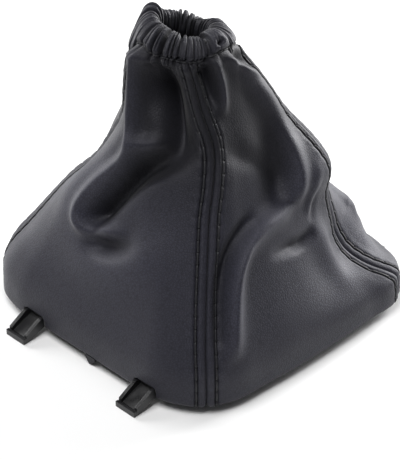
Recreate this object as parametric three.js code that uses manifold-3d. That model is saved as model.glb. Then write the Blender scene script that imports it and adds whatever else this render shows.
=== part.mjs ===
// Gear lever gaiter: four sewn leather panels, gathered round an elastic at the collar
// and closed round a moulded base frame with snap clips. Millimetres, +Z up, the clips'
// tips on z = 0, the lever's axis near the middle of the base.
import * as THREE from 'three';
import { mergeVertices } from 'three/addons/utils/BufferGeometryUtils.js';
import Module from 'manifold-3d';

const wasm = await Module();
wasm.setup();

// Base: a square with round corners, and the skirt of leather that hides the frame
const BASE_HALF = 57.3;
const CORNER_RADIUS = 26.5;
const SKIRT_BOTTOM = 2.8;
const SHOULDER = 14.8;
const SHOULDER_SOFTNESS = 0.02;

// Leather
const LEATHER = 1.2;
const SEAM_LEATHER = 2.2;
const SEAM_GAP = 0.4;
const STITCH_OFFSET = 3.5;
const PANELS = 4;
const PANEL_LENGTH = 2 * (BASE_HALF - CORNER_RADIUS) + Math.PI / 2 * CORNER_RADIUS;

// Collar: its ring of closing stitches leans away from the near corner and rolls sideways
const COLLAR_CENTRE = new THREE.Vector3(-6.5, -2.3, 102);
const COLLAR_RADIUS = 18.3;
const COLLAR_LEAN = THREE.MathUtils.degToRad(17);
const COLLAR_ROLL = THREE.MathUtils.degToRad(8);
const COLLAR_TWIST = THREE.MathUtils.degToRad(11.6);
const NEAR_CORNER = THREE.MathUtils.degToRad(-45);
const PLEAT = 0.7;
const PLEAT_REACH = 8;
const SLANT_HEIGHT = 100;
const COLLAR_WIDTH = 29;

// Base frame and the clearance of everything that lies against leather
const CLEAR = 0.3;
const WALL = 2.2;
const WALL_TOP = 12.6;
const HEM_TOP = 9.6;
const FLANGE = 6;
const CORNER_STEPS = 8;

// Snap clips, seen from the front: centres across, width and reach in front of the leather
const CLIP_OFFSET = 28.4;
const CLIP_SHIFT = 2.4;
const CLIP_WIDTH = 9.2;
const CLIP_REACH = 9.3;
const CLIP_CHEEK = 1.3;
const CLIP_CHEEK_HEIGHT = 2.3;
const CLIP_PLATE = 1.4;
const NOTCH_WIDTH = 10.4;
const NOTCH_TOP = 7.6;
const TONGUE = { left: 0.9, right: 5.7, tip: 2.9 };

// Elastic in the casing
const ELASTIC = { inner: 13.55, thickness: 1.7, bottom: 3.0, height: 4.4, steps: 44 };

// How far the leather has travelled from the skirt to the collar at each height, for the
// four seams (near, right, far, left corner) and the middle of each panel between them
const HEIGHTS = [0, 0.08, 0.17, 0.25, 0.37, 0.5, 0.6, 0.7, 0.82, 0.93, 1];
const TRAVEL = [
  [0, 0.07, 0.17, 0.26, 0.40, 0.55, 0.66, 0.77, 0.88, 0.96, 1],
  [0, 0.09, 0.20, 0.28, 0.40, 0.53, 0.63, 0.74, 0.86, 0.95, 1],
  [0, 0.23, 0.35, 0.40, 0.43, 0.43, 0.48, 0.58, 0.76, 0.93, 1],
  [0, 0.10, 0.21, 0.32, 0.46, 0.60, 0.70, 0.79, 0.89, 0.96, 1],
  [0, 0.07, 0.16, 0.27, 0.42, 0.60, 0.72, 0.83, 0.92, 0.97, 1],
  [0, 0.10, 0.21, 0.32, 0.48, 0.64, 0.75, 0.85, 0.92, 0.97, 1],
  [0, 0.05, 0.13, 0.25, 0.45, 0.70, 0.82, 0.95, 0.97, 0.98, 1],
  [0, 0.09, 0.20, 0.30, 0.43, 0.58, 0.70, 0.81, 0.91, 0.97, 1],
];
const STRAIGHT = HEIGHTS.map(() => 0);

// How far the near and right seams wander sideways, in mm counterclockwise
const WANDER = [
  [2.7, 2.6, 2.8, 3.1, 3.8, 5.0, 6.1, 6.6, 4.0, -0.1, -2.0],
  STRAIGHT,
  [-6, -6, -6, -5, -4, -3, -2, 0, 0, 0, 0],
  STRAIGHT, STRAIGHT, STRAIGHT, STRAIGHT, STRAIGHT,
];

// Folds: each runs through points of (corner, height, depth in mm) with its own half
// width. A corner number counts round from the near seam: 0 near, 1 right, 2 far, 3 left.
const FOLDS = [
  { width: 6, path: [[3.42, 1, 3], [3.32, 0.93, 5], [3.29, 0.82, 6], [3.33, 0.73, 6],
    [3.42, 0.65, 6], [3.42, 0.57, 5], [3.31, 0.48, 4.5], [3.22, 0.41, 4], [3.22, 0.35, 2.5]] },
  { width: 6, path: [[3.06, 0.95, -3], [3.06, 0.8, -4], [3.1, 0.7, -4], [3.16, 0.6, -3]] },
  { width: 8, path: [[3.88, 0.99, -3], [3.82, 0.86, -6], [3.74, 0.74, -8], [3.64, 0.64, -8],
    [3.52, 0.55, -7], [3.42, 0.46, -6], [3.35, 0.38, -4]] },
  { width: 7, path: [[3.84, 0.6, 1.5], [3.72, 0.49, 3], [3.55, 0.41, 4], [3.42, 0.34, 3.5],
    [3.3, 0.29, 1.5]] },
  { width: 4.5, path: [[3.38, 0.27, -1.5], [3.47, 0.29, -3], [3.56, 0.31, -2.5],
    [3.63, 0.35, -1.5]] },
  { width: 9, path: [[3.1, 0.15, 2], [3.3, 0.2, 3], [3.56, 0.22, 3], [3.83, 0.2, 2]] },
  { width: 5.5, path: [[0.5, 1, 2.5], [0.58, 0.94, 4.5], [0.55, 0.87, 5], [0.44, 0.79, 5],
    [0.3, 0.72, 2]] },
  { width: 5, path: [[0.3, 1, -2], [0.31, 0.92, -4.5], [0.27, 0.85, -4.5], [0.17, 0.77, -2.5]] },
  { width: 10, path: [[0.7, 0.86, -3], [0.68, 0.76, -5], [0.7, 0.66, -7], [0.69, 0.57, -7],
    [0.62, 0.5, -5]] },
  { width: 7, path: [[0.95, 0.98, 1], [0.98, 0.9, 1], [0.97, 0.8, 1.5], [0.94, 0.72, 2.5],
    [0.91, 0.63, 4], [0.9, 0.54, 5], [0.86, 0.46, 5], [0.74, 0.41, 4]] },
  { width: 5, path: [[0.8, 0.49, 1.5], [0.68, 0.42, 3], [0.48, 0.39, 4], [0.28, 0.365, 4.5],
    [0.19, 0.33, 4], [0.15, 0.28, 3.5], [0.13, 0.2, 3], [0.115, 0.11, 2.5], [0.11, 0.06, 1]] },
  { width: 5, path: [[0.44, 0.45, -2], [0.24, 0.42, -3], [0.11, 0.36, -3], [0.07, 0.24, -2.5],
    [0.055, 0.12, -1.5]] },
  { width: 3.5, path: [[0.4, 0.29, -1], [0.55, 0.31, -2.5], [0.72, 0.31, -1.5]] },
];

// Sections: hem and collar as (distance, height) pairs
const HEM_OUTSIDE = [[5.2, HEM_TOP], [5.2, 4.0], [4.2, SKIRT_BOTTOM], [1.0, SKIRT_BOTTOM], [0, 4.0]];
const HEM_INSIDE = [[4.0, HEM_TOP], [4.0, 4.3], [3.8, 4.0], [1.4, 4.0], [1.2, 4.3]];
const BODY_ROWS = [-0.06, -0.02, 0.03, 0.09, 0.16, 0.23, 0.30, 0.37, 0.44, 0.52, 0.60, 0.68, 0.76,
  0.83, 0.89, 0.945, 1];
const CASING_OUTSIDE = [[18.7, 2.6], [18.4, 6], [17.1, 9.1], [15, 10.3], [12.8, 9.8], [11.1, 7.8],
  [10.6, 4.6], [12.2, 1.0], [15.4, -0.8]];
const CASING_INSIDE = [[17.5, 2.8], [17.2, 5.6], [16.2, 8.2], [15, 9.1], [13.4, 8.7], [12.2, 7.2],
  [11.8, 4.8], [13.0, 1.9], [16.0, 0.3]];
const COLUMNS = 20;

const LEATHER_LOOK = new THREE.MeshStandardMaterial({ color: 0x3b3b3f, roughness: 0.55 });
const PLASTIC_LOOK = new THREE.MeshStandardMaterial({ color: 0x141416, roughness: 0.3 });
const ELASTIC_LOOK = new THREE.MeshStandardMaterial({ color: 0x1d1d20, roughness: 0.9 });

// Curves

function catmull(p0, p1, p2, p3, t) {
  const linear = (p2 - p0) * t;
  const square = (2 * p0 - 5 * p1 + 4 * p2 - p3) * t * t;
  const cube = (3 * p1 - p0 - 3 * p2 + p3) * t * t * t;
  return 0.5 * (2 * p1 + linear + square + cube);
}

// Slopes of a curve through unevenly spaced heights
function slopes(values) {
  return values.map((value, i) => {
    if (i === 0) return (values[1] - value) / (HEIGHTS[1] - HEIGHTS[0]);
    if (i === values.length - 1) return (value - values[i - 1]) / (HEIGHTS[i] - HEIGHTS[i - 1]);
    const below = HEIGHTS[i] - HEIGHTS[i - 1];
    const above = HEIGHTS[i + 1] - HEIGHTS[i];
    const rise = below ** 2 * (values[i + 1] - value) + above ** 2 * (value - values[i - 1]);
    return rise / (below * above * (below + above));
  });
}

function alongHeight(values, v) {
  const slope = slopes(values);
  let i = 0;
  while (i < HEIGHTS.length - 2 && v >= HEIGHTS[i + 1]) i += 1;
  const h = HEIGHTS[i + 1] - HEIGHTS[i];
  const t = THREE.MathUtils.clamp((v - HEIGHTS[i]) / h, 0, 1);
  const rise = t * t * (3 - 2 * t);
  const ends = (1 - rise) * values[i] + rise * values[i + 1];
  return ends + h * t * (1 - t) * ((1 - t) * slope[i] - t * slope[i + 1]);
}

// Value at corner number u and height v from eight columns round the gaiter
function around(columns, u, v) {
  const place = THREE.MathUtils.euclideanModulo(u, PANELS) * 2;
  const first = Math.floor(place);
  const at = (step) => alongHeight(columns[(first + step + 8) % 8], v);
  return catmull(at(-1), at(0), at(1), at(2), place - first);
}

// Point and outward normal on a round-cornered square, inset from the base outline
function baseRing(u, inset = 0) {
  const radius = CORNER_RADIUS - inset;
  const side = Math.floor(u);
  const straight = 2 * (BASE_HALF - CORNER_RADIUS);
  const arc = Math.PI / 4 * CORNER_RADIUS;
  const along = (u - side) * PANEL_LENGTH;
  const leaving = THREE.MathUtils.clamp(along, 0, arc) / CORNER_RADIUS;
  const entering = THREE.MathUtils.clamp(along - arc - straight, 0, arc) / CORNER_RADIUS;
  const angle = leaving + entering - Math.PI / 4;
  const y = THREE.MathUtils.clamp(along - arc, 0, straight) - straight / 2;
  const up = new THREE.Vector3(0, 0, 1);
  const turn = side * Math.PI / 2;
  const normal = new THREE.Vector3(Math.cos(angle), Math.sin(angle), 0).applyAxisAngle(up, turn);
  const centre = new THREE.Vector3(straight / 2, y, 0).applyAxisAngle(up, turn);
  return { point: centre.addScaledVector(normal, radius), normal };
}

// Axis of the collar and two directions square to it
function collarAxes() {
  const away = new THREE.Vector3(-Math.sin(-NEAR_CORNER), Math.cos(NEAR_CORNER), 0);
  const sideways = new THREE.Vector3(Math.cos(NEAR_CORNER), -Math.sin(NEAR_CORNER), 0);
  const axis = new THREE.Vector3(0, 0, Math.cos(COLLAR_LEAN));
  axis.addScaledVector(away, Math.sin(COLLAR_LEAN)).multiplyScalar(Math.cos(COLLAR_ROLL));
  axis.addScaledVector(sideways, Math.sin(COLLAR_ROLL)).normalize();
  const across = new THREE.Vector3(1, 0, 0);
  across.addScaledVector(axis, -axis.x).normalize();
  return { axis, across, along: new THREE.Vector3().crossVectors(axis, across) };
}

const COLLAR = collarAxes();

function collarNormal(u) {
  const angle = NEAR_CORNER + COLLAR_TWIST + u * Math.PI / 2;
  return COLLAR.across.clone().multiplyScalar(Math.cos(angle)).addScaledVector(COLLAR.along, Math.sin(angle));
}

function collarPoint(u, radius, height) {
  const point = COLLAR_CENTRE.clone().addScaledVector(COLLAR.axis, height);
  return point.addScaledVector(collarNormal(u), radius);
}

// Seat of a corner number on the base ring, after the seams' wander
function seat(u) {
  return u + around(WANDER, u, 0) / PANEL_LENGTH;
}

// The skin without folds: from the shoulder (v = 0) to the closing stitches (v = 1)
function smoothSkin(u, v) {
  const eased = SHOULDER_SOFTNESS * Math.log1p(Math.exp(v / SHOULDER_SOFTNESS));
  const height = Math.min(v > 0.3 ? v : eased, 1);
  const travel = around(TRAVEL, u, height);
  const top = collarPoint(u, COLLAR_RADIUS, 0);
  const wander = around(WANDER, u, height) - around(WANDER, u, 0) * (1 - travel);
  const point = baseRing(seat(u)).point.multiplyScalar(1 - travel).addScaledVector(top, travel);
  const radial = point.clone().addScaledVector(COLLAR_CENTRE, -travel).setZ(0).normalize();
  point.x -= radial.y * wander;
  point.y += radial.x * wander;
  point.z = SHOULDER + (top.z - SHOULDER) * v;
  return point;
}

function skinNormal(u, v) {
  const step = 0.004;
  const below = Math.min(v, 1 - step) - step;
  const round = smoothSkin(u + step, v).sub(smoothSkin(u - step, v));
  const rise = smoothSkin(u, below + 2 * step).sub(smoothSkin(u, below));
  return round.cross(rise).normalize();
}

function panelWidth(v) {
  const share = alongHeight(TRAVEL[1], THREE.MathUtils.clamp(v, 0, 1));
  return PANEL_LENGTH + (COLLAR_WIDTH - PANEL_LENGTH) * share;
}

// Folds

// Soft spots along a fold's path, which add up to a smooth ridge or valley
function foldSpots({ width, path }) {
  const mirrored = (a, b) => a.map((value, i) => 2 * value - b[i]);
  const points = [mirrored(path[0], path[1]), ...path, mirrored(path.at(-1), path.at(-2))];
  return path.slice(1).flatMap((_, i) => {
    const [p0, p1, p2, p3] = points.slice(i, i + 4);
    const run = (wide) => Math.hypot((p2[0] - p1[0]) * wide, (p2[1] - p1[1]) * SLANT_HEIGHT);
    const count = Math.max(2, Math.ceil(run(60) / (width / 2)));
    return Array.from({ length: count }, (_unused, k) => {
      const t = (k + 0.5) / count;
      const [u, v, depth] = p0.map((_value, axis) => catmull(p0[axis], p1[axis], p2[axis], p3[axis], t));
      return { u, v, width, weight: depth * run(panelWidth(v)) / count / (width * Math.sqrt(Math.PI)) };
    });
  });
}

const FOLD_SPOTS = FOLDS.flatMap(foldSpots);

function foldHeight(u, v) {
  const wide = panelWidth(v);
  let height = 0;
  for (const spot of FOLD_SPOTS) {
    const across = (THREE.MathUtils.euclideanModulo(u - spot.u + 2, PANELS) - 2) * wide;
    const up = (v - spot.v) * SLANT_HEIGHT;
    height += spot.weight * Math.exp(-(across * across + up * up) / spot.width ** 2);
  }
  const edge = Math.min(THREE.MathUtils.clamp((1 - v) * 25, 0, 1), THREE.MathUtils.clamp(v * 17, 0, 1));
  return height * edge * edge * (3 - 2 * edge);
}

// Columns across one panel: the joint, the puffed leather, the topstitch, then even steps
function columnPlace(column, wide) {
  const edge = [SEAM_GAP / 2, 1.6, STITCH_OFFSET];
  const mirror = COLUMNS - column;
  if (column < 3) return edge[column];
  if (mirror < 3) return wide - edge[mirror];
  return STITCH_OFFSET + (column - 2) * (wide - 2 * STITCH_OFFSET) / (COLUMNS - 4);
}

// Gathers: every other column stands out, the ones between are pulled in
function gather(column) {
  return column % 2 ? 1 : -1;
}

// Sewn edge: sunk at the joint and the topstitch, puffed between
function seamRelief(column) {
  const fromEdge = Math.min(column, COLUMNS - column);
  return [-0.6, 0.3, -0.35][fromEdge] ?? 0;
}

// Solids

// Closed solid between two grids of points, given as rows that run the same way
function sheetSolid(outside, inside) {
  const rows = outside.length;
  const columns = outside[0].length;
  const points = [...outside.flat(), ...inside.flat()];
  const out = (row, column) => row * columns + column;
  const inn = (row, column) => rows * columns + row * columns + column;
  const faces = [];
  const quad = (a, b, c, d) => faces.push(a, b, c, a, c, d);
  for (let row = 0; row < rows - 1; row += 1) {
    for (let column = 0; column < columns - 1; column += 1) {
      quad(out(row, column), out(row, column + 1), out(row + 1, column + 1), out(row + 1, column));
      quad(inn(row, column), inn(row + 1, column), inn(row + 1, column + 1), inn(row, column + 1));
    }
    quad(out(row, 0), out(row + 1, 0), inn(row + 1, 0), inn(row, 0));
    const last = columns - 1;
    quad(out(row, last), inn(row, last), inn(row + 1, last), out(row + 1, last));
  }
  for (let column = 0; column < columns - 1; column += 1) {
    const end = rows - 1;
    quad(out(0, column), inn(0, column), inn(0, column + 1), out(0, column + 1));
    quad(out(end, column), out(end, column + 1), inn(end, column + 1), inn(end, column));
  }
  return toGeometry(points, faces);
}

// Closed ring from a closed section placed at each station
function ringSolid(stations) {
  const size = stations[0].length;
  const faces = [];
  stations.forEach((_, s) => {
    const next = (s + 1) % stations.length;
    for (let i = 0; i < size; i += 1) {
      const j = (i + 1) % size;
      faces.push(s * size + i, next * size + i, next * size + j);
      faces.push(s * size + i, next * size + j, s * size + j);
    }
  });
  return toGeometry(stations.flat(), faces);
}

function toGeometry(points, faces) {
  const geometry = new THREE.BufferGeometry();
  geometry.setAttribute('position', new THREE.Float32BufferAttribute(points.flatMap((p) => p.toArray()), 3));
  geometry.setIndex(faces);
  return geometry;
}

function toManifold(geometry) {
  const bare = geometry.clone();
  bare.deleteAttribute('normal');
  bare.deleteAttribute('uv');
  const merged = mergeVertices(bare, 1e-4);
  return new wasm.Manifold(new wasm.Mesh({
    numProp: 3,
    vertProperties: new Float32Array(merged.attributes.position.array),
    triVerts: new Uint32Array(merged.index.array),
  }));
}

function fromManifold(solid) {
  const mesh = solid.getMesh();
  const geometry = new THREE.BufferGeometry();
  geometry.setAttribute('position', new THREE.BufferAttribute(mesh.vertProperties, 3));
  geometry.setIndex(new THREE.BufferAttribute(mesh.triVerts, 1));
  return geometry;
}

// Panels

function hemPoint(u, [inset, z]) {
  return baseRing(seat(u), inset).point.setZ(z);
}

// Both faces of one panel, row by row from the hem inside the frame to the casing's end
function panelRows(side) {
  const outside = [];
  const inside = [];
  const columns = Array.from({ length: COLUMNS + 1 }, (_, i) => i);
  const place = (column, wide) => side + columnPlace(column, wide) / wide;
  HEM_OUTSIDE.forEach((section, row) => {
    outside.push(columns.map((c) => hemPoint(place(c, PANEL_LENGTH), section)));
    inside.push(columns.map((c) => hemPoint(place(c, PANEL_LENGTH), HEM_INSIDE[row])));
  });
  BODY_ROWS.forEach((v) => {
    const wide = panelWidth(v);
    const raised = THREE.MathUtils.clamp((v - 0.03) * 15, 0, 1);
    const gathered = PLEAT * Math.exp((v - 1) * SLANT_HEIGHT / PLEAT_REACH);
    const pairs = columns.map((c) => {
      const u = place(c, wide);
      const normal = skinNormal(u, v);
      const lift = foldHeight(u, v) + seamRelief(c) * raised + gather(c) * gathered;
      const outer = smoothSkin(u, v).addScaledVector(normal, lift);
      const doubled = Math.min(c, COLUMNS - c) < 3 ? (SEAM_LEATHER - LEATHER) * raised : 0;
      return [outer, outer.clone().addScaledVector(normal, -(LEATHER + doubled * (1 - v)))];
    });
    outside.push(pairs.map(([outer]) => outer));
    inside.push(pairs.map(([, inner]) => inner));
  });
  CASING_OUTSIDE.forEach(([radius, height], row) => {
    const [innerRadius, innerHeight] = CASING_INSIDE[row];
    const wave = (c) => gather(c) * PLEAT * (row < CASING_OUTSIDE.length - 2 ? 1 : 0.3);
    outside.push(columns.map((c) => collarPoint(place(c, COLLAR_WIDTH), radius + wave(c), height)));
    inside.push(columns.map((c) => collarPoint(place(c, COLLAR_WIDTH), innerRadius + wave(c), innerHeight)));
  });
  return { outside, inside };
}

function boxAt(x0, x1, y0, y1, z0, z1) {
  const box = new THREE.BoxGeometry(x1 - x0, y1 - y0, z1 - z0);
  return box.translate((x0 + x1) / 2, (y0 + y1) / 2, (z0 + z1) / 2);
}

function clipCentres() {
  return [CLIP_SHIFT - CLIP_OFFSET, CLIP_SHIFT + CLIP_OFFSET];
}

// Notches in the hem let the clips through
function notchPanel(geometry, turned) {
  let solid = toManifold(geometry);
  for (const centre of clipCentres()) {
    const half = NOTCH_WIDTH / 2;
    const notch = boxAt(centre - half, centre + half, -BASE_HALF - 1, -BASE_HALF + 7, 0, NOTCH_TOP);
    if (turned) notch.rotateZ(Math.PI);
    solid = solid.subtract(toManifold(notch));
  }
  return solid;
}

// Small pointed tongue at the middle of the front hem
function tongue() {
  const top = SKIRT_BOTTOM + 0.5;
  const shape = new THREE.Shape([
    new THREE.Vector2(TONGUE.left, top),
    new THREE.Vector2(TONGUE.left, SKIRT_BOTTOM - 0.3),
    new THREE.Vector2(TONGUE.tip, 0.05),
    new THREE.Vector2(TONGUE.right, SKIRT_BOTTOM - 0.3),
    new THREE.Vector2(TONGUE.right, top),
  ]);
  const geometry = new THREE.ExtrudeGeometry(shape, { depth: LEATHER, bevelEnabled: false });
  return geometry.rotateX(Math.PI / 2).translate(0, -BASE_HALF + 1 + LEATHER, 0);
}

function buildPanel(name, side) {
  const { outside, inside } = panelRows(side);
  let geometry = sheetSolid(outside, inside);
  if (name === 'front_panel') {
    geometry = fromManifold(notchPanel(geometry, false).add(toManifold(tongue())));
  } else if (name === 'rear_panel') {
    geometry = fromManifold(notchPanel(geometry, true));
  }
  const mesh = new THREE.Mesh(geometry, LEATHER_LOOK);
  mesh.name = name;
  return mesh;
}

// Base frame

// Stations of the ring: the ends of each straight and even steps round each corner
function ringStations() {
  const arc = Math.PI / 4 * CORNER_RADIUS / PANEL_LENGTH;
  const stations = [];
  for (let corner = 0; corner < PANELS; corner += 1) {
    for (let step = 0; step <= CORNER_STEPS; step += 1) {
      stations.push(corner - arc + 2 * arc * step / CORNER_STEPS);
    }
  }
  return stations;
}

// Wall with a sloped shoulder, and a flange turned inward with a stiffening lip
function frameRing() {
  const outer = LEATHER + CLEAR;
  const inner = outer + WALL;
  const bottom = SKIRT_BOTTOM + LEATHER + CLEAR;
  const lip = inner + FLANGE;
  const section = [
    [outer, bottom], [outer, 8.8], [outer + 3.4, WALL_TOP], [lip, WALL_TOP], [lip, HEM_TOP - 2.4],
    [lip - 1.6, HEM_TOP - 2.4], [lip - 1.6, HEM_TOP + CLEAR + 0.4], [inner, HEM_TOP + CLEAR + 0.4],
    [inner, bottom],
  ];
  return ringSolid(ringStations().map((u) => section.map(([inset, z]) => baseRing(u, inset).point.setZ(z))));
}

// Channel-shaped clip: a sloping plate with two cheeks and a flat-footed lip at its tip
function clipSolid(centre) {
  const face = BASE_HALF;
  const root = face - LEATHER - CLEAR - WALL;
  const tip = face + CLIP_REACH;
  const plate = new THREE.Shape([
    new THREE.Vector2(root, 5.2),
    new THREE.Vector2(root, 3.1),
    new THREE.Vector2(face - 1, 3.1),
    new THREE.Vector2(tip - 2.2, 0),
    new THREE.Vector2(tip, 0),
    new THREE.Vector2(tip, 2.2),
    new THREE.Vector2(tip - 1, 2.2),
    new THREE.Vector2(tip - 2, CLIP_PLATE),
    new THREE.Vector2(face - 0.6, 3.1 + CLIP_PLATE),
    new THREE.Vector2(face - 1.6, 5.2),
  ]);
  const cheek = new THREE.Shape([
    new THREE.Vector2(face - 1.6, 3.4),
    new THREE.Vector2(face - 1, 3.1),
    new THREE.Vector2(tip - 2.2, 0),
    new THREE.Vector2(tip - 1.2, 0),
    new THREE.Vector2(tip - 1.6, CLIP_PLATE + CLIP_CHEEK_HEIGHT - 0.7),
    new THREE.Vector2(face + 1, 3.1 + CLIP_PLATE + CLIP_CHEEK_HEIGHT),
    new THREE.Vector2(face - 1.6, 3.1 + CLIP_PLATE + CLIP_CHEEK_HEIGHT),
  ]);
  // the shapes are drawn outward and up, then turned so that outward is -Y
  const across = (shape, left, width) => new THREE.ExtrudeGeometry(shape, { depth: width, bevelEnabled: false })
    .rotateX(Math.PI / 2).rotateZ(-Math.PI / 2).translate(left + width, 0, 0);
  const left = centre - CLIP_WIDTH / 2;
  const right = centre + CLIP_WIDTH / 2 - CLIP_CHEEK;
  return toManifold(across(plate, left, CLIP_WIDTH))
    .add(toManifold(across(cheek, left, CLIP_CHEEK)))
    .add(toManifold(across(cheek, right, CLIP_CHEEK)));
}

function buildFrame() {
  let solid = toManifold(frameRing());
  for (const centre of clipCentres()) {
    const clip = clipSolid(centre);
    solid = solid.add(clip).add(clip.rotate([0, 0, 180]));
  }
  const mesh = new THREE.Mesh(fromManifold(solid), PLASTIC_LOOK);
  mesh.name = 'base_frame';
  return mesh;
}

// Elastic: a flat band that rides inside the gathered casing
function buildElastic() {
  const { inner, thickness, bottom, height, steps } = ELASTIC;
  const section = [[inner, bottom], [inner + thickness, bottom], [inner + thickness, bottom + height],
    [inner, bottom + height]];
  const station = (u) => section.map(([radius, z]) => collarPoint(u, radius, z));
  const stations = Array.from({ length: steps }, (_, i) => station(PANELS * i / steps));
  const mesh = new THREE.Mesh(ringSolid(stations), ELASTIC_LOOK);
  mesh.name = 'collar_elastic';
  return mesh;
}

const gaiter = new THREE.Group();
['right_panel', 'rear_panel', 'left_panel', 'front_panel'].forEach((name, side) => {
  gaiter.add(buildPanel(name, side));
});
gaiter.add(buildFrame(), buildElastic());

export default gaiter;
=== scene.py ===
import bpy
import math
import numpy as np
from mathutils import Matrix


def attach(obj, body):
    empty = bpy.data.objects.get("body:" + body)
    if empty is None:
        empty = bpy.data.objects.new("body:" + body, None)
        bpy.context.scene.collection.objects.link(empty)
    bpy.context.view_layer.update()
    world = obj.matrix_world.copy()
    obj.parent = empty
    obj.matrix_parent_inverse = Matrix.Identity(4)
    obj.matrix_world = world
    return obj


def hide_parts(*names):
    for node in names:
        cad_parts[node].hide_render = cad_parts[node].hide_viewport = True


# Gear lever gaiter: four leather panels with their folds, seams, stitching and gathered
# collar, over the moulded base frame. The skin is worked out in millimetres, as the
# solids are, and turned into metres when a mesh is made.

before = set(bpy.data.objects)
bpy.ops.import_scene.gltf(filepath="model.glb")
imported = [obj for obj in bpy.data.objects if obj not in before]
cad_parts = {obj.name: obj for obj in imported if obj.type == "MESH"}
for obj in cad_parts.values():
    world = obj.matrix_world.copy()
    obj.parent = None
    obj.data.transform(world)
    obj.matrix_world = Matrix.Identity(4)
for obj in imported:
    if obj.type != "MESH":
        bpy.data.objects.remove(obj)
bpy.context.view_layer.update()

MM = 0.001
CREASE_SEED = 41
RNG = np.random.default_rng(CREASE_SEED)

# Driving dimensions, the same as the solids'
BASE_HALF = 57.3
CORNER_RADIUS = 26.5
SHOULDER = 14.8
LEATHER = 1.2
STITCH_OFFSET = 3.5
PANELS = 4
STRAIGHT_SIDE = 2 * (BASE_HALF - CORNER_RADIUS)
PANEL_LENGTH = STRAIGHT_SIDE + math.pi / 2 * CORNER_RADIUS
COLLAR_CENTRE = np.array([-6.5, -2.3, 102.0])
COLLAR_RADIUS = 18.3
COLLAR_LEAN = math.radians(17)
COLLAR_ROLL = math.radians(8)
COLLAR_TWIST = math.radians(11.6)
NEAR_CORNER = math.radians(-45)
COLLAR_WIDTH = 29
SLANT_HEIGHT = 100
CLIP_OFFSET = 28.4
CLIP_SHIFT = 2.4
NOTCH_WIDTH = 10.4
NOTCH_TOP = 7.6
NOTCH_CORNER = 1.6
NOTCH_CHAMFER = 0.48
NOTCH_FOOT = -1
NOTCH_OUTWARD = 3
NOTCH_INWARD = 7

# Over the frame the skin is square in plan. Above it the rear side draws in to this share,
# from one height on and over a span. The shoulder is eased below another height.
REAR_SHARE = 0.91
REAR_EASE_START = -0.03
REAR_EASE_SPAN = 0.09
SHOULDER_SOFTNESS = 0.02
EASED_BELOW = 0.3
NORMAL_STEP = 0.004

# Share of the way from the skirt to the collar at each height. The gaiter has eight
# stations, counted counterclockwise from the near corner: a seam, the middle of the panel
# after it, the next seam and so on. A corner number counts the seams alone.
STATIONS = 2 * PANELS
HEIGHTS = np.array([0, 0.08, 0.17, 0.25, 0.37, 0.5, 0.6, 0.7, 0.82, 0.93, 1])
TRAVEL = np.array([
    [0, 0.07, 0.17, 0.26, 0.40, 0.55, 0.66, 0.77, 0.88, 0.96, 1],
    [0, 0.09, 0.20, 0.28, 0.40, 0.53, 0.63, 0.74, 0.86, 0.95, 1],
    [0, 0.25, 0.36, 0.39, 0.42, 0.41, 0.51, 0.665, 0.785, 0.905, 1],
    [0, 0.10, 0.21, 0.32, 0.46, 0.60, 0.70, 0.79, 0.89, 0.96, 1],
    [0, 0.07, 0.16, 0.27, 0.42, 0.60, 0.72, 0.83, 0.92, 0.97, 1],
    [0, 0.10, 0.21, 0.32, 0.48, 0.64, 0.75, 0.85, 0.92, 0.97, 1],
    [0, 0.08, 0.22, 0.34, 0.52, 0.735, 0.83, 0.94, 0.965, 0.98, 1],
    [0, 0.09, 0.20, 0.30, 0.43, 0.58, 0.70, 0.81, 0.91, 0.97, 1],
])

# How far the near, right and left seams wander sideways, in mm counterclockwise
WANDER = np.zeros((STATIONS, len(HEIGHTS)))
WANDER[0] = [2.7, 2.6, 2.8, 3.1, 3.8, 4.7, 6.3, 6.7, 2.9, 0, -2]
WANDER[2] = [-6, -6, -6, -5, -4, -3, -2, 0, 0, 0, 0]
WANDER[6] = [-6, -6, -6.5, -7, -6.5, -3, -0.5, -1.5, -3, -2, 0]

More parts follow.
